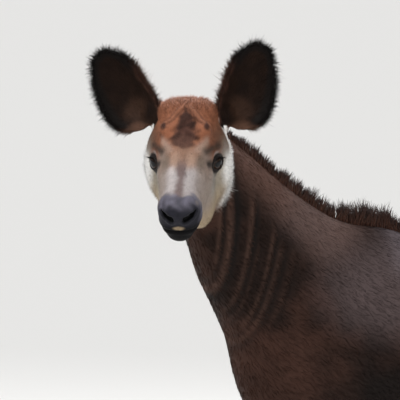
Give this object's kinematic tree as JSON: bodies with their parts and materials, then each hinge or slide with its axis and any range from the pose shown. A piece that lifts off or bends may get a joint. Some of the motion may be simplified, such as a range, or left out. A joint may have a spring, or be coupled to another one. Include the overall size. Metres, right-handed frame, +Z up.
{
  "type": "okapi calf figure",
  "caption": "Life-size still figure of a young okapi standing with its head turned to its left, large cupped ears up.",
  "frame": {"origin": "on the floor under the middle of the whole figure's bounding box", "axes": "+Z up; the body faces -Y; its left side is +X"},
  "size_m": [0.449, 1.3512, 1.4225],
  "materials": {
    "coat": "short glossy chocolate coat, rufous on the crown, striped white on rump and upper forelegs",
    "pale_coat": "short cream coat of the lower legs with dark bands at the joints",
    "dark_hair": "long dark hair of mane and tail tuft",
    "muzzle_skin": "dark slate skin with very short hair, slightly moist",
    "eye": "wet and glossy, near black",
    "hoof": "dark horn, satin"
  },
  "bodies": {
    "root": {"ear_left": "coat", "ear_right": "coat", "eye_left": "eye", "eye_right": "eye", "foreleg_left_claw_inner": "hoof", "foreleg_left_claw_outer": "hoof", "foreleg_left_lower": "pale_coat", "foreleg_left_upper": "coat", "foreleg_right_claw_inner": "hoof", "foreleg_right_claw_outer": "hoof", "foreleg_right_lower": "pale_coat", "foreleg_right_upper": "coat", "head": "coat", "hindleg_left_claw_inner": "hoof", "hindleg_left_claw_outer": "hoof", "hindleg_left_lower": "pale_coat", "hindleg_left_upper": "coat", "hindleg_right_claw_inner": "hoof", "hindleg_right_claw_outer": "hoof", "hindleg_right_lower": "pale_coat", "hindleg_right_upper": "coat", "mane": "dark_hair", "muzzle": "muzzle_skin", "neck": "coat", "tail": "coat", "tail_tuft": "dark_hair", "trunk": "coat"}
  },
  "joints": []
}
